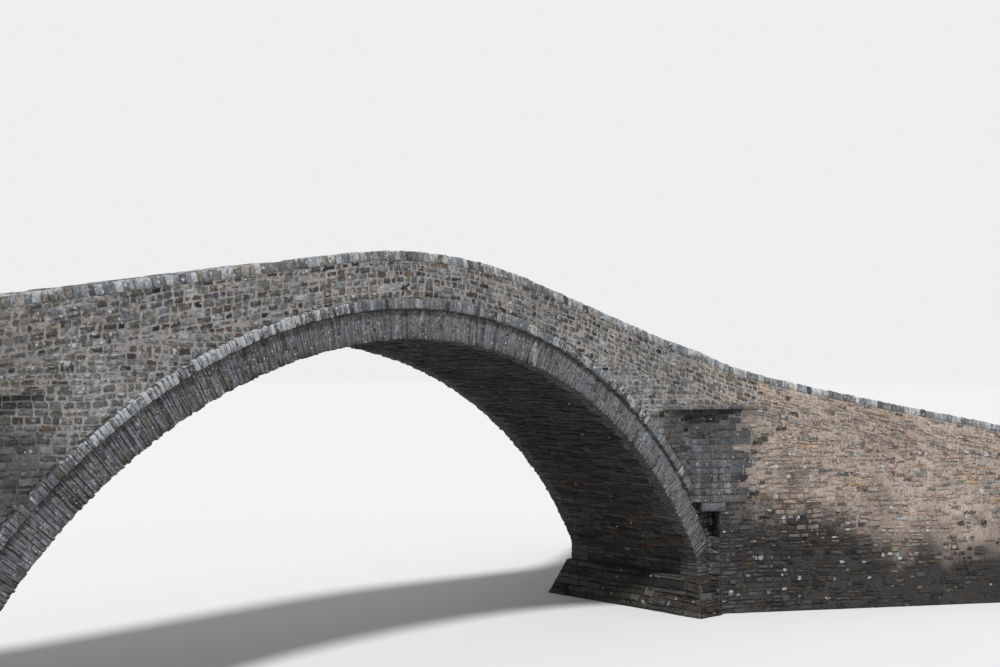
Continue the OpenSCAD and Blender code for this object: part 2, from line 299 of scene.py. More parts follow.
def within(u0, u1, v0=-math.inf, v1=math.inf):
    """A cut that keeps what lies between two lengths and two heights."""
    def cut(outline):
        for normal, limit in (((1.0, 0.0), u0), ((-1.0, 0.0), -u1), ((0.0, 1.0), v0), ((0.0, -1.0), -v1)):
            outline = clipped(outline, normal, limit)
        return outline
    return cut


def clear_of(u1, v0, v1, u0=-math.inf):
    """A cut that keeps an outline out of a box, by the straight cut that leaves the most of it."""
    def cut(outline):
        low_u, high_u, low_v, high_v = limits(outline)
        if high_u <= u0 or low_u >= u1 or high_v <= v0 or low_v >= v1:
            return outline
        options = [clipped(outline, normal, limit) for normal, limit in (
            ((-1.0, 0.0), -u0), ((1.0, 0.0), u1), ((0.0, -1.0), -v0), ((0.0, 1.0), v1))]
        return max(options, key=lambda option: area(option) if len(option) > 2 else 0.0)
    return cut


def outside_arch(outline):
    """A cut along the back of the ring, or along the hood mould where that covers it."""
    u, v = middle(outline)
    rise = v - CENTRE_Z
    reach = math.hypot(u, rise)
    radius = HOOD_OUTER if math.atan2(rise, abs(u)) > HOOD_END else RING_OUTER
    normal = (u / reach, rise / reach)
    return clipped(outline, normal, radius + normal[1] * CENTRE_Z)


def trimmed(outline, cuts):
    """An outline after every cut, or nothing where too little is left."""
    for cut in cuts:
        if len(outline) < 3:
            return []
        outline = cut(outline)
    return outline


def polar(radius, turn):
    """A point of the side view, round the arch's centre."""
    return radius * math.cos(turn), CENTRE_Z + radius * math.sin(turn)


# Where walls stand: each placing takes a length, a height and a distance out of the face

Wall = namedtuple("Wall", "at flipped")


def wall(at, side=RIGHT, face=FRONT, u=1.0, v=1.0):
    """A placing for the right front corner, moved to another. It is tried at one place, to find out
    whether it turns shapes inside out."""
    def moved(u, v, d):
        x, y, z = at(u, v, d)
        return x * side, -y * face, z

    step = 0.01
    here = Vector(moved(u, v, 0.0))
    along = Vector(moved(u + step, v, 0.0)) - here
    up = Vector(moved(u, v + step, 0.0)) - here
    out = Vector(moved(u, v, step)) - here
    return Wall(moved, along.cross(up).dot(out) < 0)


def face_at(u, v, d):
    """The bridge's face between the corners."""
    return u, -FACE_Y - d, v


def face_wall_at(u, v, d):
    """The bridge's face, which goes round the curved corners over the ledges."""
    if abs(u) <= CURVE_START or v < LEDGE_Z[RIGHT if u > 0 else LEFT] - HAIR:
        return face_at(u, v, d)
    x, y, _ = CURVE.at(abs(u) - CURVE_START, v, d)
    return math.copysign(x, u), y, v


def inner_face_at(u, v, d):
    """The road side of the parapet between the corners."""
    return u, -FACE_Y + PARAPET_THICKNESS + d, v


def wing_at(u, v, d):
    """The wing's outer face, from the corner outward."""
    return CORNER_X + u * WING_COS - d * WING_SIN, -FACE_Y - u * WING_SIN - d * WING_COS, v


def wing_inner_at(u, v, d):
    """The road side of the wing's parapet."""
    return wing_at(u, v, -PARAPET_THICKNESS - d)


def wing_coping_at(u, v, d):
    """The wing's outer face, kept inside the plane of the bridge's end."""
    x, y, z = wing_at(u, v, d)
    return min(x, END_X - 0.004), y, z


class Bend:
    """An arc that leaves the face some way back from the corner and runs out along the wing."""

    def __init__(self, face_reach, wing_reach):
        self.face_reach = face_reach
        self.wing_reach = wing_reach
        chord = face_reach**2 + wing_reach**2 + 2 * face_reach * wing_reach * WING_COS
        self.radius = chord / (2 * face_reach * WING_SIN)
        self.x = CORNER_X + wing_reach * WING_COS - self.radius * WING_SIN
        self.y = -FACE_Y - wing_reach * WING_SIN - self.radius * WING_COS
        self.start = math.asin((CORNER_X - face_reach - self.x) / self.radius)
        self.length = (WING_ANGLE - self.start) * self.radius

    def at(self, u, v, d):
        """The arc's face: its first end is square to the bridge's face."""
        turn = self.start + u / self.radius
        out = turn * clamped(u / 0.4)
        return (
            self.x + self.radius * math.sin(turn) - d * math.sin(out),
            self.y + self.radius * math.cos(turn) - d * math.cos(out), v)

    def inner_at(self, u, v, d):
        """The road side of a wall along the arc."""
        return self.at(u, v, -PARAPET_THICKNESS - d)


CURVE = Bend(CORNER_X - CURVE_START, (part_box("front_right_wing_parapet")[0].x - CORNER_X) / WING_COS)
CORBEL_REACH = (
    CORNER_X - corbels_low.x, (corbels_high.x - CORNER_X - PARAPET_THICKNESS * WING_SIN) / WING_COS)
# The curved wall and the corbel courses under it, from the top down
BENDS = [CURVE] + [
    Bend(*(reach - course * CORBEL_STEP for reach in CORBEL_REACH)) for course in range(CORBEL_COURSES)]


def soffit_at(u, v, d):
    """The underside of the arch: u runs round it from the right springing, v across it."""
    x, z = polar(ARCH_RADIUS - d, SPRINGING_ANGLE + u / ARCH_RADIUS)
    return x, v, z


def leg_at(u, v, d):
    """The upright foot of the soffit: u across the bridge."""
    return HALF_SPAN - d, u, v


def road_at(u, v, d):
    """The paving: u along the bridge, v across it."""
    return u, v, top_over(u) - ROAD_DEPTH + d


def recess_side_at(u, v, d):
    """The end of the wing wall in the recess, from its outer edge inward."""
    return wing_at(RECESS_WIDTH - d, v, -u)


def wing_foot_at(u, v, d):
    """The lower end of the wing wall, from its outer edge inward."""
    return WING_FOOT_X - d, -FACE_Y - RECESS_WIDTH * WING_SIN + u, v


def recess_floor_at(u, v, d):
    """The floor of the recess, from its outer corner along the bridge and inward."""
    return WING_FOOT_X + u, -FACE_Y - RECESS_WIDTH * WING_SIN + v, RECESS_FLOOR + d


def end_at(u, v, d):
    """The plain end of the approach: u runs across it."""
    return END_X - END_SET_BACK + d, u, v


def footing_face_at(u, v, d):
    """The right footing's battered face toward the opening: u across the bridge."""
    return HALF_SPAN - FOOTING_SPREAD + BATTER * (v / FOOTING_TOP) - d, u, v


def footing_front_at(u, v, d):
    """The right footing's battered front."""
    return u, -FACE_Y - FOOTING_SPREAD + BATTER * (v / FOOTING_TOP) - d, v


def following(at, side):
    """A placing whose heights are measured from the coping's top over its own place."""
    def moved(u, v, d):
        x, y, _ = at(u, 0.0, d)
        return x, y, top_over(x * side) + v
    return moved


def under_coping(u):
    """Underside of the coping along the bridge's face and round its corners."""
    beyond = abs(u) - CURVE_START
    x = math.copysign(CURVE.at(beyond, 0.0, 0.0)[0], u) if beyond > 0 else u
    return top_over(x) - COPING_HEIGHT


def road_edge(distance):
    """Half the road's width at a distance from mid-span."""
    if distance <= CURVE_START:
        return FACE_Y - PARAPET_THICKNESS
    outer = CURVE.radius + PARAPET_THICKNESS
    if distance - CURVE.x < outer * WING_SIN:
        return -CURVE.y - math.sqrt(outer**2 - (distance - CURVE.x) ** 2)
    return FACE_Y + (distance - CORNER_X) * WING_TANGENT - PARAPET_THICKNESS / WING_COS


# Stones

def srgb(red, green, blue):
    """A colour as it looks on a screen, from 0 to 255, as linear light."""
    def linear(value):
        value = value / 255
        return value / 12.92 if value <= 0.04045 else ((value + 0.055) / 1.055) ** 2.4
    return linear(red), linear(green), linear(blue), 1.0


# Kinds of sandstone
PALETTE = {
    "plum": srgb(79, 77, 81),
    "umber": srgb(90, 85, 80),
    "drab": srgb(111, 109, 106),
    "grey": srgb(117, 120, 124),
    "buff": srgb(138, 134, 128),
    "rust": srgb(114, 97, 86),
    "ash": srgb(150, 153, 156),
    "pink": srgb(156, 141, 132),
    "ochre": srgb(116, 111, 98),
    "soot": srgb(50, 50, 51),
    "straw": srgb(152, 145, 129),
    "tan": srgb(166, 140, 114),
}
LICHEN = srgb(198, 201, 204)
KINDS = list(PALETTE)

# A stone's kind as its place on the palette, its brightness, its lichen and its damp. In places the
# brightness and the damp also carry painted shade.
Look = namedtuple("Look", "tone shade lichen damp")
# How stones are cut and laid: the joint between them, how far they stand proud, how rough and chamfered
# they are, what is cut off their corners, the sizes of their courses, their lengths, and how often one is
# as high as two courses
Pattern = namedtuple(
    "Pattern", "joint proud rough chamfer cut course length jumper", defaults=[0.016, None, None, 0.0])

SPANDREL = Pattern(0.022, (0.002, 0.024), 0.008, 0.013, 0.016, (0.075, 0.135), (0.12, 0.32), 0.14)
WING = Pattern(0.010, (-0.006, 0.03), 0.014, 0.016, 0.016, (0.06, 0.125), (0.13, 0.42), 0.1)
BLOCK = Pattern(0.012, (0.004, 0.018), 0.005, 0.011, 0.016, (0.13, 0.2), (0.3, 0.55))
FOOT = Pattern(0.012, (0.002, 0.03), 0.01, 0.014, 0.016, (0.09, 0.16), (0.36, 0.6))
INNER = Pattern(0.020, (0.006, 0.020), 0.007, 0.013, 0.016, (0.09, 0.16), (0.16, 0.38), 0.12)
FOOTING = Pattern(0.006, (0.002, 0.05), 0.016, 0.022, 0.016, (0.07, 0.2), (0.3, 1.1), 0.15)
CORE = Pattern(0.026, (0.004, 0.018), 0.006, 0.018, 0, (0.12, 0.24), (0.16, 0.42), 0.2)
PAVING = Pattern(0.012, (0.006, 0.016), 0.003, 0.012, 0, (0.17, 0.26), (0.24, 0.46))
SOFFIT = Pattern(0.007, (0.004, 0.016), 0.004, 0.010, 0, (0.036, 0.088), (0.26, 0.85))
LEG = Pattern(0.007 / 2, (0.006, 0.024), 0.004, 0.009, 0.009, (0.07, 0.11), (0.3, 0.8))
SHELF = Pattern(0.008, (0.028, 0.042), 0.003, 0.010, length=(0.35, 0.62))
CORBEL = Pattern(0.008, (0.006, 0.018), 0.004, 0.014, length=(0.26, 0.5))
SLAB = Pattern(0.006, (0.048, 0.062), 0.004, 0.016, length=(0.5, 0.8))
RING = Pattern(0.007 / 3, (0.006, 0.018), 0.007, 0.007, 0.007)
HOOD = Pattern(0.002, (0.006, 0.022), 0.006, 0.014, 0.011, length=(0.04, 0.11))
COPING = Pattern(0.001, (0.0, 0.012), 0.005, 0.014, 0.016, length=(0.075, 0.17))

# Where stones start behind their face, and where those start that also show a top or an end
SHALLOW = -0.03
DEEP = -0.1
# The least area of a stone, and its least mean thickness
SMALLEST_STONE = 0.0022
THINNEST_STONE = 0.022
# A face over this area is modelled with one more ring of points
SMALL_FACE = 0.03
# An edge over this length is bent, by up to so much
LONG_EDGE = 0.17
BEND = 0.006
# The share of its joint that a coursed stone leaves free on each side
JOINT_SHARE = (0.3, 0.8)
# How steeply faces lean, as a mean slope
FACE_LEAN = 0.03


def pick_look(rng, weights, shade, lichen, damp):
    """A look whose kind is drawn by weight and whose brightness is drawn from a range."""
    names = list(weights)
    name = rng.choices(names, [weights[n] for n in names])[0]
    return Look((KINDS.index(name) + 0.5) / len(KINDS), rng.uniform(*shade), lichen, damp)


def in_the_box(point):
    """A point, or the nearest to it in the frame's own box."""
    return tuple(min(max(p, low + HAIR), high - HAIR) for p, low, high in zip(point, cad_low, cad_high))


def stood(name, data):
    """A new object in the scene."""
    thing = bpy.data.objects.new(name, data)
    bpy.context.scene.collection.objects.link(thing)
    return thing


class Masonry:
    """Closed stones collected for one piece."""

    def __init__(self, name):
        self.name = name
        self.rng = random.Random(name)
        self.points = []
        self.faces = []
        self.colours = []
        self.edges = []

    def stone(self, outline, place, back, front, look, pattern, two_faced=False):
        """One stone: an outline drawn out from back to front, with a worn, uneven face."""
        rng = self.rng
        count = len(outline)
        middle_u, middle_v = middle(outline)
        lean_u, lean_v = rng.gauss(0.0, FACE_LEAN), rng.gauss(0.0, FACE_LEAN)
        start = len(self.points)
        rough, chamfer = pattern.rough, pattern.chamfer
        large = area(outline) > SMALL_FACE

        # Each ring of points: its depth, inset, share of the outline, unevenness, edge and light. The light
        # is painted shade in the joints, with some grime: it darkens the rings that lie next to them.
        if two_faced:
            rings = [(back, chamfer, 1.0, rough / 2, 0.7, 1.0), (back + chamfer, 0.0, 1.0, 0.0, 0.9, 0.8)]
        else:
            rings = [(back, 0.0, 1.0, 0.0, 1.0, 1.0)]
        rings.append((front - chamfer, 0.0, 1.0, rough / 3, 1.0, 0.72))
        rings.append((front, chamfer, 1.0, rough / 2, 0.75 if large else 0.5, 0.95))
        if large:
            rings.append((front, chamfer, 0.6, rough, 0.15, 1.0))
        for level, inset, share, uneven, edge, light in rings:
            for u, v in outline:
                du, dv = u - middle_u, v - middle_v
                keep = share * max(0.3, 1.0 - inset / max(math.hypot(du, dv), 1e-4))
                lean = du * lean_u + dv * lean_v if level > back else 0.0
                depth = level + lean + (rng.gauss(0.0, uneven) if uneven else 0.0)
                self.points.append(in_the_box(place.at(middle_u + du * keep, middle_v + dv * keep, depth)))
            self.colours.extend((look.tone, look.shade * light, look.lichen, look.damp) * count)
            self.edges.extend([edge] * count)
        self.points.append(in_the_box(place.at(middle_u, middle_v, front + rng.gauss(0.0, rough))))
        self.colours.extend(look)
        self.edges.append(0.0)

        last = start + (len(rings) - 1) * count
        apex = last + count
        made = [tuple(start + i for i in reversed(range(count)))]
        for base in range(start, last, count):
            for i in range(count):
                after = (i + 1) % count
                made.append((base + i, base + after, base + count + after, base + count + i))
        for i in range(count):
            made.append((last + i, last + (i + 1) % count, apex))
        if place.flipped:
            made = [tuple(reversed(face)) for face in made]
        self.faces.extend(made)

    def worn(self, outline, pattern):
        """An outline without its joints, and with its corners knocked off."""
        return softened(shrunk(outline, pattern.joint), self.rng, pattern.cut)

    def lay(self, outline, place, pattern, look, cuts=(), back=SHALLOW):
        """Trims an outline, takes off its joints and makes it a stone, if enough is left."""
        rng = self.rng
        outline = shrunk(trimmed(outline, cuts), pattern.joint * rng.uniform(*JOINT_SHARE))
        if len(outline) < 3 or area(outline) < SMALLEST_STONE:
            return
        u0, u1, v0, v1 = limits(outline)
        if area(outline) / max(u1 - u0, v1 - v0) < THINNEST_STONE:
            return
        self.stone(
            softened(outline, rng, pattern.cut), place, back, rng.uniform(*pattern.proud),
            look(rng, *middle(outline)), pattern)

    def row(self, place, u0, u1, v0, v1, pattern, look):
        """Lays one course of squared stones."""
        for start, stop in self.lengths(u0, u1, pattern.length):
            self.lay(oblong(start, stop, v0, v1), place, pattern, look, back=DEEP)

    def coursed(self, place, extent, pattern, look, cuts, lift=None, back=SHALLOW):
        """Fills a stretch of wall with coursed rubble, over a line where it is given one."""
        phase = self.rng.uniform(0.0, 6.3)

        def corner(u, v):
            """A corner of a stone, in courses that rise and sink a little along the wall."""
            wave = 0.016 * math.sin(1.7 * u + 2.1 * v + phase) + 0.009 * math.sin(4.3 * u - 1.3 * v + phase)
            v = v + wave + self.rng.uniform(-0.005, 0.005)
            return u, (lift(u) + v if lift else v)

        for cell in self.cells(*extent, pattern):
            outline = [corner(u, v) for u, v in oblong(*cell)]
            if area(outline) > SMALLEST_STONE:
                self.lay(outline, place, pattern, look, cuts, back)

    def cells(self, u0, u1, v0, v1, pattern):
        """Pairs of courses, broken here and there by a stone as high as both."""
        rng = self.rng
        v = v0
        while v < v1:
            lower = rng.uniform(*pattern.course)
            upper = rng.uniform(*pattern.course)
            u = u0 - rng.uniform(0.0, pattern.length[1])
            while u < u1:
                if rng.random() < pattern.jumper:
                    width = (lower + upper) * rng.uniform(0.8, 1.35)
                    yield u, u + width, v, v + lower + upper
                else:
                    width = sum(pattern.length) / 2 * rng.uniform(2.0, 5.0)
                    for low, high in ((v, v + lower), (v + lower, v + lower + upper)):
                        for start, end in self.lengths(u, u + width, pattern.length):
                            yield start, end, low, high
                u += width
            v += lower + upper

    def lengths(self, start, end, bounds):
        """Splits a length into stones."""
        sizes = []
        while sum(sizes) < end - start:
            sizes.append(self.rng.uniform(*bounds))
        scale = (end - start) / sum(sizes)
        for size in sizes:
            yield start, start + size * scale
            start += size * scale

    def build(self, slot, material=None):
        """The collected stones as one object, riding on the bridge."""
        mesh = bpy.data.meshes.new(self.name)
        mesh.from_pydata(self.points, [], self.faces)
        mesh.attributes.new("stone", "FLOAT_COLOR", "POINT").data.foreach_set("color", self.colours)
        mesh.attributes.new("edge", "FLOAT", "POINT").data.foreach_set("value", self.edges)
        mesh.shade_smooth()
        mesh.set_sharp_from_angle(angle=math.radians(50))
        mesh.materials.append(MATERIALS[material or slot])
        mesh.update()
        piece = stood(self.name, mesh)
        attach(piece, "root")
        return piece


# Materials

class Shader:
    """A material's node tree, with short ways to add what stone needs."""

    def __init__(self, name):
        self.material = bpy.data.materials.new(name)
        self.material.use_nodes = True
        self.tree = self.material.node_tree
        self.place = self.add("TexCoord").outputs["Object"]

    def put(self, socket, value):
        """Joins a socket to another, or sets its number or colour."""
        if isinstance(value, bpy.types.NodeSocket):
            self.tree.links.new(value, socket)
        else:
            socket.default_value = value[:3] if socket.type == "VECTOR" else value

    def add(self, kind, sockets=(), **settings):
        """A new node with its settings and its inputs."""
        node = self.tree.nodes.new(f"ShaderNode{kind}")
        for name, value in settings.items():
            setattr(node, name, value)
        for name, value in dict(sockets).items():
            self.put(node.inputs[name], value)
        return node

    def math(self, operation, first, second, clamp=False):
        return self.add("Math", {0: first, 1: second}, operation=operation, use_clamp=clamp).outputs[0]

    def spread(self, value, low, high, to_low, to_high):
        """Maps a value from one range to another, and keeps it there."""
        return self.add("MapRange", {
            "Value": value, "From Min": low, "From Max": high, "To Min": to_low, "To Max": to_high,
        }).outputs["Result"]

    def varied(self, value, *factors):
        """A value times others, each mapped from one range to another."""
        for factor in factors:
            value = self.math("MULTIPLY", value, self.spread(*factor))
        return value

    def noise(self, scale, detail=4.0, roughness=0.55, stretch=None):
        """Noise through the object, squeezed along its axes by a stretch."""
        place = self.place
        if stretch:
            place = self.add("Mapping", {"Vector": place, "Scale": stretch}).outputs["Vector"]
        return self.add("TexNoise", {
            "Vector": place, "Scale": scale, "Detail": detail, "Roughness": roughness}).outputs["Fac"]

    def spots(self, scale):
        """Ragged spots about half a cell wide, with a number for each cell."""
        push = self.add("TexNoise", {"Vector": self.place, "Scale": 30.0}).outputs["Color"]
        ragged = self.add("VectorMath", {0: push, 1: (0.05, 0.05, 0.05), 2: self.place},
                          operation="MULTIPLY_ADD").outputs[0]
        cells = self.add("TexVoronoi", {"Vector": ragged, "Scale": scale}).outputs
        inside = self.spread(cells["Distance"], 0.3, 0.5, 1.0, 0.0)
        return inside, self.add("SeparateColor", {"Color": cells["Color"]}).outputs["Red"]

    def mix(self, share, first, second):
        return self.add("Mix", {"Factor": share, 6: first, 7: second}, data_type="RGBA").outputs[2]

    def scaled(self, colour, value):
        """A colour times a number."""
        return self.add("VectorMath", {0: colour, "Scale": value}, operation="SCALE").outputs[0]

    def finish(self, colour, roughness, *bumps):
        """Joins everything to the surface, with bumps as heights, distances and strengths."""
        normal = {}
        for height, distance, strength in bumps:
            bump = {"Height": height, "Distance": distance, "Strength": strength, **normal}
            normal = {"Normal": self.add("Bump", bump).outputs["Normal"]}
        surface = self.tree.nodes["Principled BSDF"].inputs
        sockets = {"Base Color": colour, "Roughness": roughness, "Specular IOR Level": 0.25, **normal}
        for name, value in sockets.items():
            self.put(surface[name], value)
        return self.material


# A mortar's colour where it is dry and where it is damp, and the heights between which it changes
Mortar = namedtuple("Mortar", "dry damp low high")
WALL_MORTAR = Mortar(srgb(150, 147, 145), srgb(115, 113, 110), 0.8, 2.4)
# The wings' damp colour is partly damp stain and partly painted shadow
WING_MORTAR = Mortar(srgb(174, 159, 148), srgb(60, 58, 56), 1.7, 3.2)
# The corner's dark mortar, which also darkens the mortar under the ledges, is partly painted shade
CORNER_MORTAR = Mortar(srgb(92, 92, 93), srgb(74, 72, 70), 0.8, 2.4)
RING_MORTAR = Mortar(srgb(82, 80, 80), srgb(54, 52, 50), 0.4, 2.2)
# Grime and lichen that run on over the ring's joints
RING_CRUST = Mortar(srgb(108, 107, 108), srgb(84, 82, 80), 0.4, 2.2)
SOFFIT_MORTAR = Mortar(srgb(52, 49, 45), srgb(44, 41, 38), 0.4, 2.2)
FOOTING_MORTAR = Mortar(srgb(48, 44, 39), srgb(40, 37, 34), 0.2, 1.0)
EARTH = Mortar(srgb(118, 106, 90), srgb(96, 86, 73), 0.4, 2.2)


def mortar_colour(s, mortar, broad):
    """The mortar's colour at each height: dry above, stained and damp below. The walls' mortar turns
    into the wings' round the curved corners, and both are dark under the ledges as painted shade."""
    place = s.add("SeparateXYZ", {"Vector": s.place}).outputs
    rise = s.math("ADD", place["Z"], s.spread(broad, 0.3, 0.7, -0.5, 0.5))
    out = s.math("ABSOLUTE", place["X"], 0.0)
    # Painted shade under the ledges, near the corners
    under = s.spread(place["Z"], 4.3, 4.6, 1.0, 0.0)
    dry = mortar.dry
    near = None
    if mortar is WALL_MORTAR:
        dry = s.mix(s.spread(out, CORNER_X - 0.2, CORNER_X + 1.3, 0.0, 0.55), dry, WING_MORTAR.dry)
        near = s.spread(out, CORNER_X - 1.5, CORNER_X - 0.7, 0.0, 1.0)
    elif mortar is WING_MORTAR:
        # The wings' dark lower band, partly painted shadow, sinks outward
        rise = s.math("ADD", rise, s.spread(out, CORNER_X + 2.2, CORNER_X + 4.8, 0.0, 0.9))
        near = s.spread(out, CORNER_X + 0.7, CORNER_X + 1.6, 1.0, 0.0)
    if near is not None:
        dry = s.mix(s.math("MULTIPLY", near, under), dry, CORNER_MORTAR.dry)
    return s.mix(s.spread(rise, mortar.low, mortar.high, 1.0, 0.0), dry, mortar.damp)


def stone_material(name, mortar=None, smear=0.72, streaks=0.0, spot_share=0.1, spot_scale=15.0,
                   painted_underside_shade=1.0, relief=1.0):
    """Weathered sandstone, whose kind, brightness, lichen and damp each stone carries itself. The lower
    smear is, the more of a stone its pointing covers."""
    s = Shader(name)
    carried = s.add("Attribute", attribute_name="stone").outputs
    split = s.add("SeparateColor", {"Color": carried["Color"]}).outputs
    tone, shade, lichen, damp = split["Red"], split["Green"], split["Blue"], carried["Alpha"]
    upward = s.add("SeparateXYZ", {"Vector": s.add("NewGeometry").outputs["Normal"]}).outputs["Z"]

    ramp = s.add("ValToRGB", {"Fac": tone})
    ramp.color_ramp.interpolation = "CONSTANT"
    elements = ramp.color_ramp.elements
    for i, kind in enumerate(KINDS):
        element = elements[i] if i < 2 else elements.new(i / len(KINDS))
        element.position = i / len(KINDS)
        element.color = PALETTE[kind]

    broad = s.noise(0.9, 3.0)
    patchy = s.noise(6.0, 5.0, 0.6)
    coarse = s.noise(24.0, 6.0, 0.7)
    grain = s.noise(80.0, 5.0, 0.65)
    beds = s.noise(1.0, 4.0, 0.6, (9.0, 9.0, 95.0))
    light = s.varied(
        s.spread(broad, 0.35, 0.65, 0.86, 1.12), (patchy, 0.3, 0.7, 0.74, 1.24),
        (coarse, 0.32, 0.68, 0.56, 1.4), (grain, 0.3, 0.7, 0.8, 1.18), (beds, 0.3, 0.7, 0.88, 1.1))
    colour = s.scaled(ramp.outputs["Color"], s.math("MULTIPLY", light, shade))

    # Pointing smeared over the stone from its edges
    if mortar:
        near = s.add("Attribute", attribute_name="edge").outputs["Fac"]
        reach = s.math("ADD", near, s.spread(coarse, 0.3, 0.7, -0.55, 0.55))
        reach = s.math("ADD", reach, s.spread(patchy, 0.3, 0.7, -0.4, 0.4))
        covered = s.spread(reach, smear, smear + 0.26, 0.0, 0.85)
        pointing = mortar_colour(s, mortar, broad)
        grit = s.varied(s.spread(grain, 0.3, 0.7, 0.8, 1.14), (coarse, 0.32, 0.68, 0.58, 1.32))
        colour = s.mix(covered, colour, s.scaled(pointing, grit))

    # Crusts of lichen: patches that grow with the stone's share, and small ragged spots
    crust = s.noise(13.0, 8.0, 0.72)
    edge = s.math("SUBTRACT", 0.78, s.varied(lichen, (upward, -0.2, 0.7, 0.3, 0.46)))
    patch = s.math("MULTIPLY", s.math("SUBTRACT", crust, edge), 9.0, clamp=True)
    inside, chance = s.spots(spot_scale)
    spot = s.math("MULTIPLY", inside, s.math("LESS_THAN", chance, s.math("MULTIPLY", lichen, spot_share)))
    cover = s.math("MAXIMUM", s.math("MULTIPLY", patch, 0.7), s.math("MULTIPLY", spot, 0.9))
    if streaks:
        drip = s.noise(1.0, 4.0, 0.6, (4.2, 4.2, 0.5))
        drips = s.varied(s.spread(drip, 0.56, 0.72, 0.0, 1.0), (coarse, 0.4, 0.62, 0.1, 1.0))
        shed = s.spread(damp, 0.2, 0.6, streaks, 0.1)
        cover = s.math("MAXIMUM", cover, s.math("MULTIPLY", drips, shed))
    white = s.scaled(LICHEN, s.spread(grain, 0.3, 0.7, 0.74, 1.05))
    colour = s.mix(cover, colour, white)
    # Painted shade: faces that look down are darkened, as if they lay in shade
    if painted_underside_shade < 1.0:
        colour = s.scaled(colour, s.spread(upward, -0.45, -0.1, painted_underside_shade, 1.0))

    # Damp darkens and smooths the stone; in places it also carries painted shade
    wet = s.math("MULTIPLY", damp, s.spread(broad, 0.35, 0.62, 0.7, 1.0), clamp=True)
    return s.finish(
        s.scaled(colour, s.spread(wet, 0.0, 1.0, 1.0, 0.36)), s.spread(wet, 0.0, 1.0, 0.93, 0.75),
        (patchy, 0.014 * relief, 0.8), (coarse, 0.012 * relief, 0.9), (beds, 0.004, 0.6),
        (grain, 0.003, 0.8))


def mortar_material(name, mortar):
    """Lime mortar or packed earth, gritty and patchy."""
    s = Shader(name)
    broad = s.noise(0.9, 3.0)
    patchy = s.noise(6.0, 6.0, 0.65)
    grit = s.noise(130.0, 4.0, 0.7)
    coarse = s.noise(24.0, 6.0, 0.7)
    light = s.varied(
        s.spread(broad, 0.3, 0.7, 0.75, 1.125), (patchy, 0.25, 0.75, 0.74, 1.18),
        (coarse, 0.32, 0.68, 0.66, 1.24), (grit, 0.3, 0.7, 0.82, 1.14))
    colour = s.scaled(mortar_colour(s, mortar, broad), light)
    return s.finish(colour, 0.95, (patchy, 0.014, 0.8), (grit, 0.004, 0.8))


STONES = {
    "wall_rubble": dict(mortar=WALL_MORTAR, smear=0.62, streaks=0.4),
    "wing_rubble": dict(mortar=WING_MORTAR, smear=0.42, spot_share=0.35, spot_scale=7.0, relief=1.7),
    "ring_stone": dict(mortar=RING_CRUST, smear=0.5, streaks=0.7, spot_share=0.22, spot_scale=32.0,
                       painted_underside_shade=0.4, relief=1.7),
    "hood_stone": dict(streaks=0.7),
    "coping_stone": dict(streaks=0.2, spot_share=0.2),
    "soffit_stone": dict(streaks=0.18, spot_share=0.02),
    "footing_stone": dict(spot_share=0.15),
    "paving_stone": dict(spot_share=0.05),
    "corner_stone": dict(mortar=CORNER_MORTAR, smear=0.5, streaks=0.6, spot_share=0.2, spot_scale=24.0,
                         relief=1.6),
    "rubble_core": dict(mortar=EARTH),
}
MORTARS = {
    "wall_mortar": WALL_MORTAR,
    "wing_mortar": WING_MORTAR,
    "ring_mortar": RING_MORTAR,
    "soffit_mortar": SOFFIT_MORTAR,
    "footing_mortar": FOOTING_MORTAR,
    "packed_earth": EARTH,
}
MATERIALS = {
    **{name: stone_material(name, **traits) for name, traits in STONES.items()},
    **{name: mortar_material(name, mortar) for name, mortar in MORTARS.items()},
}

# Words in the nodes' names, and what shows between the stones there. The first that fits counts.
NODE_MATERIALS = {
    "wing": "wing_mortar",
    "barrel": "soffit_mortar",
    "abutment": "soffit_mortar",
    "ring": "ring_mortar",
    "hood": "ring_mortar",
    "corbels": "ring_mortar",
    "slabs": "ring_mortar",
    "footing": "footing_mortar",
    "fill": "packed_earth",
    "roadway": "packed_earth",
    "": "wall_mortar",
}


def dress_frame():
    """Gives each node of the frame the mortar or earth that shows between its stones."""
    for name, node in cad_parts.items():
        material = next(material for word, material in NODE_MATERIALS.items() if word in name)
        node.data.materials.clear()
        node.data.materials.append(MATERIALS[material])


# How stones look in each part of the bridge

def wall_look(rng, u, v):
    """Grey and brown rubble, paler and bluer toward the corners, darker under the ledges as damp and
    painted shade.
    """
    below_ledge = LEDGE_Z[RIGHT if u > 0 else LEFT] - v
    if below_ledge < 0 and rng.random() < (abs(u) - CURVE_START + 0.5) / 1.2:
        return corner_look(rng, u, v)
    corner = clamped((abs(u) - 4.2) / 1.8) * (1.0 if 3.4 < v < 5.6 else 0.35)
    weights = dict(plum=1.5 - corner, umber=2.0 - corner, drab=3.2, grey=2.6 + 3 * corner, buff=2.0,
                   rust=0.25, ash=1.2 + 2.4 * corner, ochre=0.3, soot=0.9 - corner / 2)
    # Under the ledges by the corners the stones darken, partly as damp and partly as painted shade
    ledge_damp_and_shade = clamped((abs(u) - 6.2) / 0.7) if below_ledge > 0 else 0.0
    damp = rng.uniform(0.0, 0.12) + ledge_damp_and_shade * (rng.uniform(0.45, 0.7) + max(0.0, 0.6 - below_ledge))
    lichen = rng.uniform(0.1, 0.5) + corner * 0.3 * (1.0 - ledge_damp_and_shade)
    return pick_look(rng, weights, (0.56 - 0.06 * corner, 1.02 - 0.12 * corner), lichen, damp)


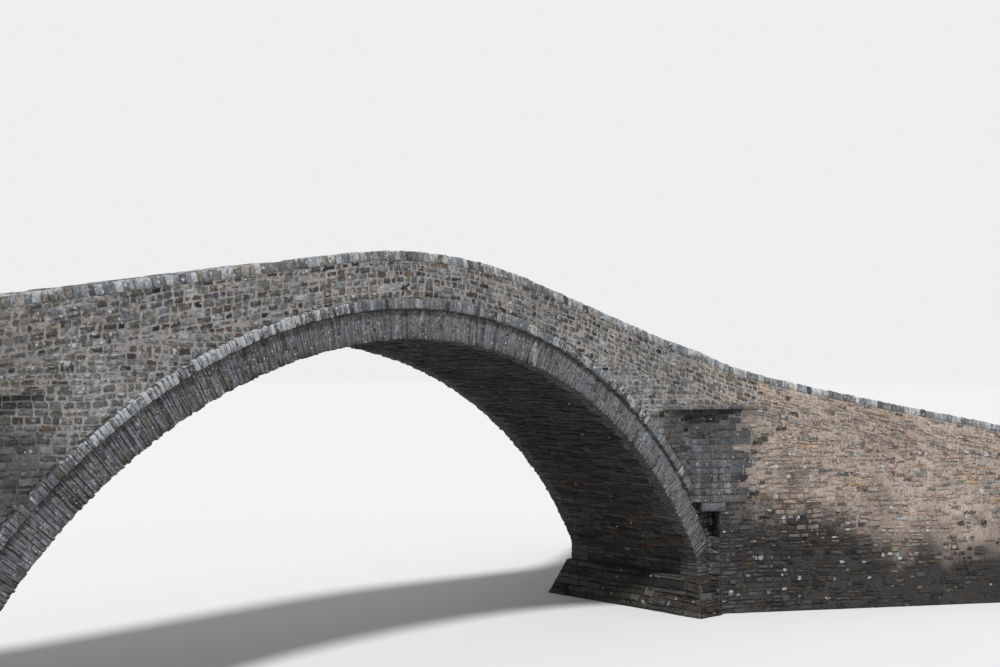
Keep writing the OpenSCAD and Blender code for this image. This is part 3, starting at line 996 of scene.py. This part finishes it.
def wing_look(rng, u, v):
    """Pinkish buff rubble, with dark courses low down, partly damp stain and partly painted shadow, that
    carry white spots and sink outward.
    """
    if v > SLAB_HIGH + 1.5 and rng.random() < (CURVE.wing_reach + 0.9 - u) / 1.4:
        return corner_look(rng, u, v)
    if v < LEDGE_Z[RIGHT] - 0.3 and rng.random() < (BENDS[1].wing_reach + 0.8 - u) / 1.1:
        return block_look(rng, u, v)
    # The dark low band is partly a painted shadow, which reaches less far down further out
    damp_and_shade_sink = 0.9 * clamped((u - 2.3) / 2.7)
    low = clamped((2.8 - damp_and_shade_sink - v + 0.3 * math.sin(2.1 * u) + 0.2 * math.sin(0.9 * u + 1.0)) / 1.2)
    if rng.random() < low:
        weights = dict(umber=3.0, drab=2.8, plum=1.8, grey=1.2, rust=0.8, soot=0.4)
        shade = (0.72 - 0.24 * low, 0.98 - 0.3 * low)
        return pick_look(rng, weights, shade, rng.uniform(0.0, 0.55), rng.uniform(0.4, 0.9) * low)
    weights = dict(pink=6.0, straw=0.9, buff=1.6, drab=0.8, ash=0.25, rust=0.5, umber=0.3, tan=0.45)
    shade = (0.88 - 0.26 * low, 1.18 - 0.3 * low)
    return pick_look(rng, weights, shade, rng.uniform(0.0, 0.4), rng.uniform(0.0, 0.1) + 0.5 * low)


def block_look(rng, u, v):
    """Squared grey blocks beside the corner, dark partly as painted shade, and darker toward the ledge as
    stain and painted shade.
    """
    weights = dict(grey=4.0, drab=2.0, plum=1.4, umber=0.8)
    stain_and_ledge_shade = max(0.0, 0.7 - (LEDGE_Z[RIGHT] - v))
    return pick_look(rng, weights, (0.48, 0.68), rng.uniform(0.0, 0.35), rng.uniform(0.15, 0.35) + stain_and_ledge_shade)


def ring_look(rng, u, v):
    """Grey arch stones, each a little different, and damper toward the springing."""
    weights = dict(grey=6.0, drab=3.0, plum=0.6, umber=0.2)
    foot = clamped((2.4 - v) / 1.6)
    return pick_look(rng, weights, (0.85, 0.98), rng.uniform(0.1, 0.6), rng.uniform(0.05, 0.2) + 0.5 * foot)


def hood_look(rng, turn):
    """Hood stones: whitened over the haunches, more so on the left, and dark at the crown and the feet."""
    weights = dict(drab=1.6, grey=4.0, umber=0.4, plum=1.2, ash=1.2)
    off_crown = abs(turn - math.pi / 2)
    white = clamped((off_crown - 0.04) / 0.2) * max(0.15, min(1.0, (0.8 - off_crown) / 0.15))
    if turn < math.pi / 2:
        white *= 0.65
    return pick_look(rng, weights, (0.74, 0.98), white * rng.uniform(0.8, 1.5), rng.uniform(0.0, 0.2))


def soffit_look(rng, u, v):
    """Slabs under the arch, kept dark partly as damp stone and partly as painted shade, reddish in places
    toward the feet.
    """
    foot = max(0.0, 1.0 - min(u, SOFFIT_LENGTH - u) / 3.6)
    weights = dict(umber=2.4, drab=2.4, plum=2.6, grey=1.6, soot=0.8, rust=0.2 + 0.9 * foot)
    shade = (0.17 + 0.2 * foot, 0.3 + 0.22 * foot)
    return pick_look(rng, weights, shade, rng.uniform(0.0, 0.3), rng.uniform(0.35, 0.65))


def even_look(shade, lichen, damp, **weights):
    """A look that is the same all over, whose lichen and damp are numbers or ranges to draw from."""
    def look(rng, u, v):
        drawn = [rng.uniform(*value) if isinstance(value, tuple) else value for value in (lichen, damp)]
        return pick_look(rng, weights, shade, *drawn)
    return look


# The road side of the parapets, drier and browner
inner_look = even_look((0.82, 1.16), (0.0, 0.5), (0.0, 0.1),
                       umber=1.8, drab=3.4, grey=2.6, buff=2.0, rust=0.4, ash=1.0, plum=0.8)
# Stones that carry the curved wall, dark partly as stains and partly as painted shade under the ledge
corbel_stain_and_shade_look = even_look((0.36, 0.54), (0.0, 0.2), (0.7, 1.0),
                        grey=2.0, drab=2.0, plum=2.0, umber=1.6, soot=0.6)
# Slabs over the recess
slab_look = even_look((0.64, 0.8), 0.3, (0.1, 0.3), grey=1.4, drab=3.0, umber=1.0)
# Damp stones inside the recess, stained brown
recess_look = even_look((0.5, 0.7), 0.0, (0.4, 0.7), umber=3.0, rust=1.6, ochre=1.0, soot=1.0)
# Stones at the wing wall's lower end, as grey as the ring beside them
foot_look = even_look((0.66, 0.86), (0.1, 0.5), (0.15, 0.4),
                      drab=2.4, grey=2.4, umber=1.4, plum=1.0, ochre=0.8)
# The curved wall: buff and ochre stones
corner_look = even_look((0.52, 0.88), (0.0, 0.45), (0.0, 0.2),
                        straw=2.4, buff=2.4, drab=2.6, ochre=2.6, ash=0.4, grey=0.4, umber=1.2)
# Coping stones: pale grey with crusts of lichen
coping_look = even_look((0.92, 1.26), (0.35, 0.9), 0.0,
                        drab=2.2, grey=3.4, ash=3.2, buff=1.2, umber=0.3, plum=0.4)
# Wet dark rock
footing_look = even_look((0.58, 0.74), (0.0, 0.35), (0.5, 0.7), umber=3.0, drab=1.6, soot=0.3)
# Packed rubble inside the approach
core_look = even_look((0.86, 1.04), 0.0, (0.0, 0.2), umber=1.6, drab=4.0, buff=1.0, rust=0.6, grey=1.6)
# Worn setts
paving_look = even_look((0.96, 1.1), (0.0, 0.15), (0.0, 0.1), drab=3.4, grey=3.0, buff=1.0, umber=0.3)


# Laying the stones

def corbel_levels(side):
    """Each corbel course at one corner, with its arc and its two heights."""
    for course, bend in enumerate(BENDS[1:]):
        high = LEDGE_Z[side] - course * CORBEL_HEIGHT
        yield bend, high - CORBEL_HEIGHT, high


def off_the_face(side):
    """Where the face's stones stop at one corner: from how far out, and between which heights."""
    ledge = LEDGE_Z[side]
    yield CURVE_START - SHELF_OVERRUN, ledge, ledge + SHELF_HEIGHT
    yield CURVE_START + CURVE.length, ledge, math.inf
    for bend, low, high in corbel_levels(side):
        yield CORNER_X - bend.face_reach, low, high
    yield CORNER_X, SLAB_JOINT, ledge
    yield CORNER_X + LOWER_SLAB_START / WING_COS, SLAB_LOW, SLAB_JOINT
    yield RECESS_BACK_X, RECESS_FLOOR, SLAB_LOW
    yield WING_FOOT_X, -math.inf, RECESS_FLOOR


def lay_face(face):
    """The face and its curved corners: level courses, and a band that follows the parapet."""
    masonry = Masonry(f"{FACE_NAMES[face]}_wall_stones")
    place = wall(face_wall_at, RIGHT, face)
    end = CURVE_START + CURVE.length
    split = lambda u: under_coping(u) - UPPER_DEPTH
    cuts = [within(-end, end), outside_arch]
    for side, ledge in LEDGE_Z.items():
        for start, low, high in off_the_face(side):
            u0, u1 = sorted((start * side, math.inf * side))
            cuts.append(clear_of(u1, low, high, u0))
        masonry.row(
            wall(CURVE.at, side, face), -SHELF_OVERRUN, CURVE.length + SHELF_OVERRUN, ledge,
            ledge + SHELF_HEIGHT, SHELF, corner_look)
    masonry.coursed(
        place, (-end, end, FOOTING_TOP, coping_high.z), SPANDREL, wall_look, [*cuts, below(split)])
    masonry.coursed(
        place, (-end, end, -UPPER_DEPTH, -UPPER_MARGIN), SPANDREL, wall_look,
        [*cuts, over(split), below(under_coping)], lift=under_coping)
    masonry.build("wall_rubble")


def lay_wing(side, face):
    """One wing's outer face: level courses, squared blocks by the corner, and a band below the coping."""
    name = f"{FACE_NAMES[face]}_{SIDE_NAMES[side]}"
    masonry = Masonry(f"{name}_wing_stones")
    corner = Masonry(f"{name}_corner_stones")
    place = wall(wing_at, side, face)
    line = lambda u: top_at(side, CORNER_X + u * WING_COS) - COPING_HEIGHT
    split = lambda u: line(u) - UPPER_DEPTH
    ledge = LEDGE_Z[side]
    end = WING_LENGTH - WING_END_GAP
    round_corner = [clear_of(bend.wing_reach, low, high) for bend, low, high in corbel_levels(side)]
    cuts = [clear_of(*box) for box in (
        (CURVE.wing_reach, ledge, math.inf),
        (RECESS_WIDTH - 0.012, -math.inf, SLAB_LOW),
        (RECESS_WIDTH + LOWER_SLAB_BEARING, SLAB_LOW, SLAB_JOINT),
        (RECESS_WIDTH + UPPER_SLAB_BEARING, SLAB_JOINT, SLAB_HIGH))]
    block_top = ledge - CORBEL_COURSES * CORBEL_HEIGHT
    for low, high in masonry.lengths(SLAB_HIGH, ledge, BLOCK.course):
        width = CURVE.wing_reach + 0.06 if high > block_top else corner.rng.uniform(*BLOCK_RUN)
        cuts.append(clear_of(width, low, high))
        for start, stop in corner.lengths(0.0, width, BLOCK.length):
            by_corner = start < BENDS[1].wing_reach
            stones, look = (corner, block_look) if by_corner else (masonry, wing_look)
            stones.lay(oblong(start, stop, low, high), place, BLOCK, look, round_corner)
    masonry.coursed(
        place, (0.0, end, 0.0, top_at(side, CORNER_X)), WING, wing_look,
        [within(0.0, end, 0.0), *cuts, below(split)], back=-0.05)
    masonry.coursed(
        place, (CURVE.wing_reach, end, -UPPER_DEPTH, -UPPER_MARGIN), WING, wing_look,
        [within(CURVE.wing_reach, end), over(split), below(line)], lift=line)
    masonry.build("wing_rubble")
    lay_corbels(corner, side, face)
    lay_recess(corner, side, face)
    corner.build("corbel_stone", "corner_stone")


def lay_corbels(masonry, side, face):
    """The corbel courses under one curved wall, and the slabs over the recess."""
    for bend, low, high in corbel_levels(side):
        masonry.row(wall(bend.at, side, face, 0.3), 0.0, bend.length, low, high, CORBEL, corbel_stain_and_shade_look)
    slabs = [
        (start, end, SLAB_JOINT, SLAB_HIGH) for start, end in
        masonry.lengths(-0.035, RECESS_WIDTH + UPPER_SLAB_BEARING, SLAB.length)]
    lower = (LOWER_SLAB_START, RECESS_WIDTH + LOWER_SLAB_BEARING, SLAB_LOW, SLAB_JOINT)
    for slab in [lower, *slabs]:
        masonry.lay(oblong(*slab), wall(wing_at, side, face), SLAB, slab_look, back=DEEP)


def lay_recess(masonry, side, face):
    """The end of the wing wall in the recess, the recess's floor and the wall's lower end."""
    foot_depth = RECESS_WIDTH * WING_SIN
    for at, depth, low, high, pattern, look in (
            (recess_side_at, RECESS_WIDTH * WING_TANGENT, RECESS_FLOOR, SLAB_LOW, BLOCK, recess_look),
            (wing_foot_at, foot_depth, 0.0, RECESS_FLOOR, FOOT, foot_look)):
        extent = (0.0, depth, low, high)
        masonry.coursed(wall(at, side, face, 0.2), extent, pattern, look, [within(*extent)])
    floor = [(0.0, 0.0), (RECESS_BACK_X - WING_FOOT_X, foot_depth), (0.0, foot_depth)]
    place = wall(recess_floor_at, side, face, 0.1, 0.2)
    masonry.lay(floor, place, BLOCK, foot_look, back=DEEP)


def lay_inner_faces(face):
    """The road side of the parapets, with the curved and the splayed stretches."""
    masonry = Masonry(f"{FACE_NAMES[face]}_inner_stones")

    def stretch(at, side, start, end, line):
        masonry.coursed(
            wall(at, side, face), (start, end, COPING_HEIGHT - ROAD_DEPTH, -UPPER_MARGIN), INNER,
            inner_look, [within(start, end), below(line)], lift=line)

    stretch(inner_face_at, RIGHT, -CURVE_START, CURVE_START, under_coping)
    wing_end = WING_LENGTH - (PARAPET_THICKNESS + 0.03) * math.tan(WING_ANGLE) - END_GAP
    for side in SIDE_NAMES:
        for at, start, end in (
                (CURVE.inner_at, 0.0, CURVE.length), (wing_inner_at, CURVE.wing_reach, wing_end)):
            stretch(at, side, start, end, lambda u: top_at(side, at(u, 0.0, 0.0)[0]) - COPING_HEIGHT)
    masonry.build("wall_rubble")


def lay_arch():
    """The two rings of thin radial stones, and the courses that they carry through the soffit."""
    rings = {face: Masonry(f"{name}_ring_stones") for face, name in FACE_NAMES.items()}
    places = {face: wall(face_at, RIGHT, face) for face in FACE_NAMES}
    soffit = Masonry("soffit_stones")
    under = wall(soffit_at)
    for start, end in soffit.lengths(0.0, SOFFIT_LENGTH, SOFFIT.course):
        turn0 = SPRINGING_ANGLE + start / ARCH_RADIUS
        turn1 = SPRINGING_ANGLE + end / ARCH_RADIUS
        reach = {}
        for face, ring in rings.items():
            rng = ring.rng
            reach[face] = rng.uniform(*RING_REACH)
            inner = ARCH_RADIUS - rng.uniform(0.002, 0.03)
            outer = RING_OUTER - rng.uniform(0.008, 0.028)
            radii = [inner, outer]
            if rng.random() < SPLIT_SHARE:
                radii = [inner, ARCH_RADIUS + rng.uniform(*SPLIT_RISE), outer]
            for low, high in zip(radii, radii[1:]):
                skew = rng.uniform(-0.0012, 0.0012)
                outline = ring.worn([
                    polar(low, turn0 + skew), polar(high, turn0), polar(high, turn1),
                    polar(low, turn1 + skew)], RING)
                ring.stone(outline, places[face], -reach[face], rng.uniform(*RING.proud),
                           ring_look(rng, *middle(outline)), RING)
        for v0, v1 in soffit.lengths(-FACE_Y + reach[FRONT], FACE_Y - reach[BACK], SOFFIT.length):
            soffit.lay(oblong(start, end, v0, v1), under, SOFFIT, soffit_look)
    lay_legs(rings, places, soffit)
    for ring in rings.values():
        ring.build("ring_stone")
    soffit.build("soffit_stone")


def lay_legs(rings, places, soffit):
    """The upright feet of the rings and of the soffit, below the springing."""
    for side in SIDE_NAMES:
        upright = wall(leg_at, side)
        for low, high in soffit.lengths(FOOTING_TOP, SPRINGING_Z, LEG.course):
            for face, ring in rings.items():
                rng = ring.rng
                edges = sorted((side * (HALF_SPAN - rng.uniform(0.002, 0.015)), side * RING_BACK_X))
                outline = oblong(*edges, low, high)
                look = ring_look(rng, *middle(outline))
                # Painted shade: the upright feet are dimmed like the soffit beside them
                look = look._replace(shade=look.shade * 0.75)
                ring.stone(ring.worn(outline, LEG), places[face], -LEG_REACH,
                           rng.uniform(*LEG.proud), look, LEG)
            for u0, u1 in soffit.lengths(LEG_REACH - FACE_Y, FACE_Y - LEG_REACH, LEG.length):
                soffit.lay(oblong(u0, u1, low, high), upright, SOFFIT,
                           lambda rng, u, v: soffit_look(rng, 0.0, v))


def lay_hood(face):
    """The hood mould: stones on edge, side by side over the ring."""
    masonry = Masonry(f"{FACE_NAMES[face]}_hood_stones")
    place = wall(face_at, RIGHT, face)
    rng = masonry.rng
    length = (math.pi - 2 * HOOD_END) * RING_OUTER
    for start, end in masonry.lengths(0.0, length, HOOD.length):
        turn0 = HOOD_END + start / RING_OUTER
        turn1 = HOOD_END + end / RING_OUTER
        inner = RING_OUTER - rng.uniform(0.0, 0.01)
        outer = HOOD_OUTER + rng.uniform(-0.006, 0.012)
        outline = masonry.worn([
            polar(inner, turn0), polar(outer, turn0), polar(outer, turn1), polar(inner, turn1)], HOOD)
        masonry.stone(outline, place, -HOOD_REACH, HOOD_PROJECTION + rng.uniform(*HOOD.proud),
                      hood_look(rng, turn0), HOOD)
    masonry.build("hood_stone")


def lay_coping(face):
    """One side's coping: stones on edge, whose tops follow the frame's own line."""
    masonry = Masonry(f"{FACE_NAMES[face]}_coping_stones")
    rng = masonry.rng
    back = -PARAPET_THICKNESS - COPING_OVERSAIL
    bottom = -COPING_HEIGHT - 0.01
    # Each stretch's side, placing, two ends and lean
    stretches = [(RIGHT, face_at, -CURVE_START, CURVE_START, COPING_LEAN)]
    for side in SIDE_NAMES:
        stretches.append((side, CURVE.at, 0.0, CURVE.length, 0.0))
        stretches.append((side, wing_coping_at, CURVE.wing_reach, WING_LENGTH - END_GAP, 0.0))
    for side, at, start, end, rake in stretches:
        place = wall(following(at, side), side, face)
        for low, high in masonry.lengths(start, end, COPING.length):
            top = -rng.uniform(0.003, 0.022)
            lean = rake * rng.uniform(0.6, 1.4)
            outline = [
                (max(start, min(end, u)), v)
                for u, v in ((low, bottom), (high, bottom), (high + lean, top), (low + lean, top))]
            if area(outline) < SMALLEST_STONE:
                continue
            outline = masonry.worn(outline, COPING)
            masonry.stone(outline, place, back + rng.uniform(*COPING.proud),
                          COPING_OVERSAIL - rng.uniform(*COPING.proud), coping_look(rng, 0, 0),
                          COPING, two_faced=True)
    return masonry.build("coping_stone")


def lay_footing(side):
    """One footing: layered dark rock on its three battered faces."""
    masonry = Masonry(f"{SIDE_NAMES[side]}_footing_stones")
    slope = BATTER / FOOTING_TOP
    reach = FACE_Y + FOOTING_SPREAD
    start = HALF_SPAN - FOOTING_SPREAD
    level = within(-math.inf, math.inf, 0.0, FOOTING_TOP)
    masonry.coursed(
        wall(footing_face_at, side, FRONT, 0.0, 0.4), (-reach, reach, 0.0, FOOTING_TOP), FOOTING,
        footing_look, [level, past((-1.0, -slope), -reach), past((1.0, -slope), -reach)], back=DEEP)
    for face in FACE_NAMES:
        masonry.coursed(
            wall(footing_front_at, side, face, 7.9, 0.4), (start, RING_BACK_X, 0.0, FOOTING_TOP),
            FOOTING, footing_look,
            [level, within(start, RING_BACK_X), past((1.0, -slope), start)], back=DEEP)
    masonry.build("footing_stone")


def lay_paving():
    """Setts laid across the road, in rows that run from parapet to parapet."""
    masonry = Masonry("road_setts")
    place = wall(road_at)
    edge = lambda x: road_edge(abs(x))
    cuts = [below(edge), over(lambda x: -edge(x))]
    end = END_X - END_GAP
    for start, stop in masonry.lengths(-end, end, PAVING.course):
        half = max(edge(start), edge(stop))
        shift = masonry.rng.uniform(0.0, 0.2)
        for low, high in masonry.lengths(-half - shift, half, PAVING.length):
            masonry.lay(oblong(start, stop, low, high), place, PAVING, paving_look, cuts)
    masonry.build("paving_stone")


def lay_end(side):
    """The plain end of one approach, where the wings and the fill were cut through."""
    masonry = Masonry(f"{SIDE_NAMES[side]}_end_stones")
    edge = road_edge(END_X)
    reach = FACE_Y + (END_X - CORNER_X) * WING_TANGENT - 0.02
    top = top_at(side, END_X)
    for low, high, drop in (
            (-reach, -edge, COPING_HEIGHT), (-edge, edge, ROAD_DEPTH), (edge, reach, COPING_HEIGHT)):
        masonry.coursed(
            wall(end_at, side), (low, high, 0.0, top), CORE, core_look,
            [within(low, high, 0.0, top - drop)], back=-0.02)
    masonry.build("rubble_core")


def set_back_ends():
    """Stands a copy for each node that meets an end, a little shorter, so that stones fit on it."""
    for name in list(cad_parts):
        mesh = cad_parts[name].data
        if "coping" in name or max(abs(vertex.co.x) for vertex in mesh.vertices) <= END_X - HAIR:
            continue
        mesh = mesh.copy()
        for vertex in mesh.vertices:
            if abs(vertex.co.x) > END_X - HAIR:
                vertex.co.x = math.copysign(END_X - END_SET_BACK, vertex.co.x)
        backing = stood(f"{name}_backing", mesh)
        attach(backing, "root")
        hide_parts(name)


def stage_scene():
    """A pale floor, soft studio light and the camera at the photograph's place."""
    scene = bpy.context.scene
    scene.view_settings.view_transform = "Standard"

    mesh = bpy.data.meshes.new("floor")
    reach = 400.0
    mesh.from_pydata([(u, v, 0.0) for u, v in oblong(-reach, reach, -reach, reach)], [], [(0, 1, 2, 3)])
    floor = stood("floor", mesh)
    paint = bpy.data.materials.new("floor_paint")
    paint.use_nodes = True
    surface = paint.node_tree.nodes["Principled BSDF"].inputs
    for name, value in (
            ("Base Color", srgb(224, 224, 224)), ("Roughness", 1.0), ("Specular IOR Level", 0.0)):
        surface[name].default_value = value
    mesh.materials.append(paint)

    # The world is white to the camera and in reflections, and dimmer as a light
    world = bpy.data.worlds.new("studio")
    scene.world = world
    world.use_nodes = True
    nodes = world.node_tree.nodes
    links = world.node_tree.links
    background = nodes["Background"]
    background.inputs["Color"].default_value = (1.0, 1.0, 1.0, 1.0)
    path = nodes.new("ShaderNodeLightPath")
    seen = path.outputs["Is Camera Ray"]
    for ray in ("Is Glossy Ray", "Is Transmission Ray"):
        either = nodes.new("ShaderNodeMath")
        either.operation = "MAXIMUM"
        links.new(seen, either.inputs[0])
        links.new(path.outputs[ray], either.inputs[1])
        seen = either.outputs[0]
    strength = nodes.new("ShaderNodeMapRange")
    strength.inputs["To Min"].default_value = 0.42
    strength.inputs["To Max"].default_value = 0.86
    links.new(seen, strength.inputs["Value"])
    links.new(strength.outputs["Result"], background.inputs["Strength"])

    key = bpy.data.lights.new("key", "SUN")
    key.energy = 3.0
    key.angle = math.radians(8)
    key_object = stood("key", key)
    key_object.rotation_mode = "QUATERNION"
    key_object.rotation_quaternion = Vector((0.5, 0.6, -1.1)).to_track_quat("-Z", "Y")

    camera = bpy.data.cameras.new("camera")
    camera.sensor_width = 36.0
    camera.lens = 45.0
    camera.clip_end = 1000.0
    camera_object = stood("camera", camera)
    camera_object.location = (-14.13, -18.19, 5.25)
    pitch, yaw = math.radians(1.67), math.radians(-44.39)
    camera_object.rotation_euler = (math.pi / 2 + pitch, 0.0, yaw)
    scene.camera = camera_object


def main():
    """Builds everything round the frame."""
    dress_frame()
    for face, prefix in FACE_NAMES.items():
        lay_face(face)
        lay_hood(face)
        lay_inner_faces(face)
        piece = lay_coping(face)
        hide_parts(f"{prefix}_coping", f"{prefix}_left_wing_coping", f"{prefix}_right_wing_coping")
    for face in FACE_NAMES:
        for side in SIDE_NAMES:
            lay_wing(side, face)
    lay_arch()
    for side in SIDE_NAMES:
        lay_footing(side)
        lay_end(side)
    lay_paving()
    set_back_ends()
    stage_scene()


main()
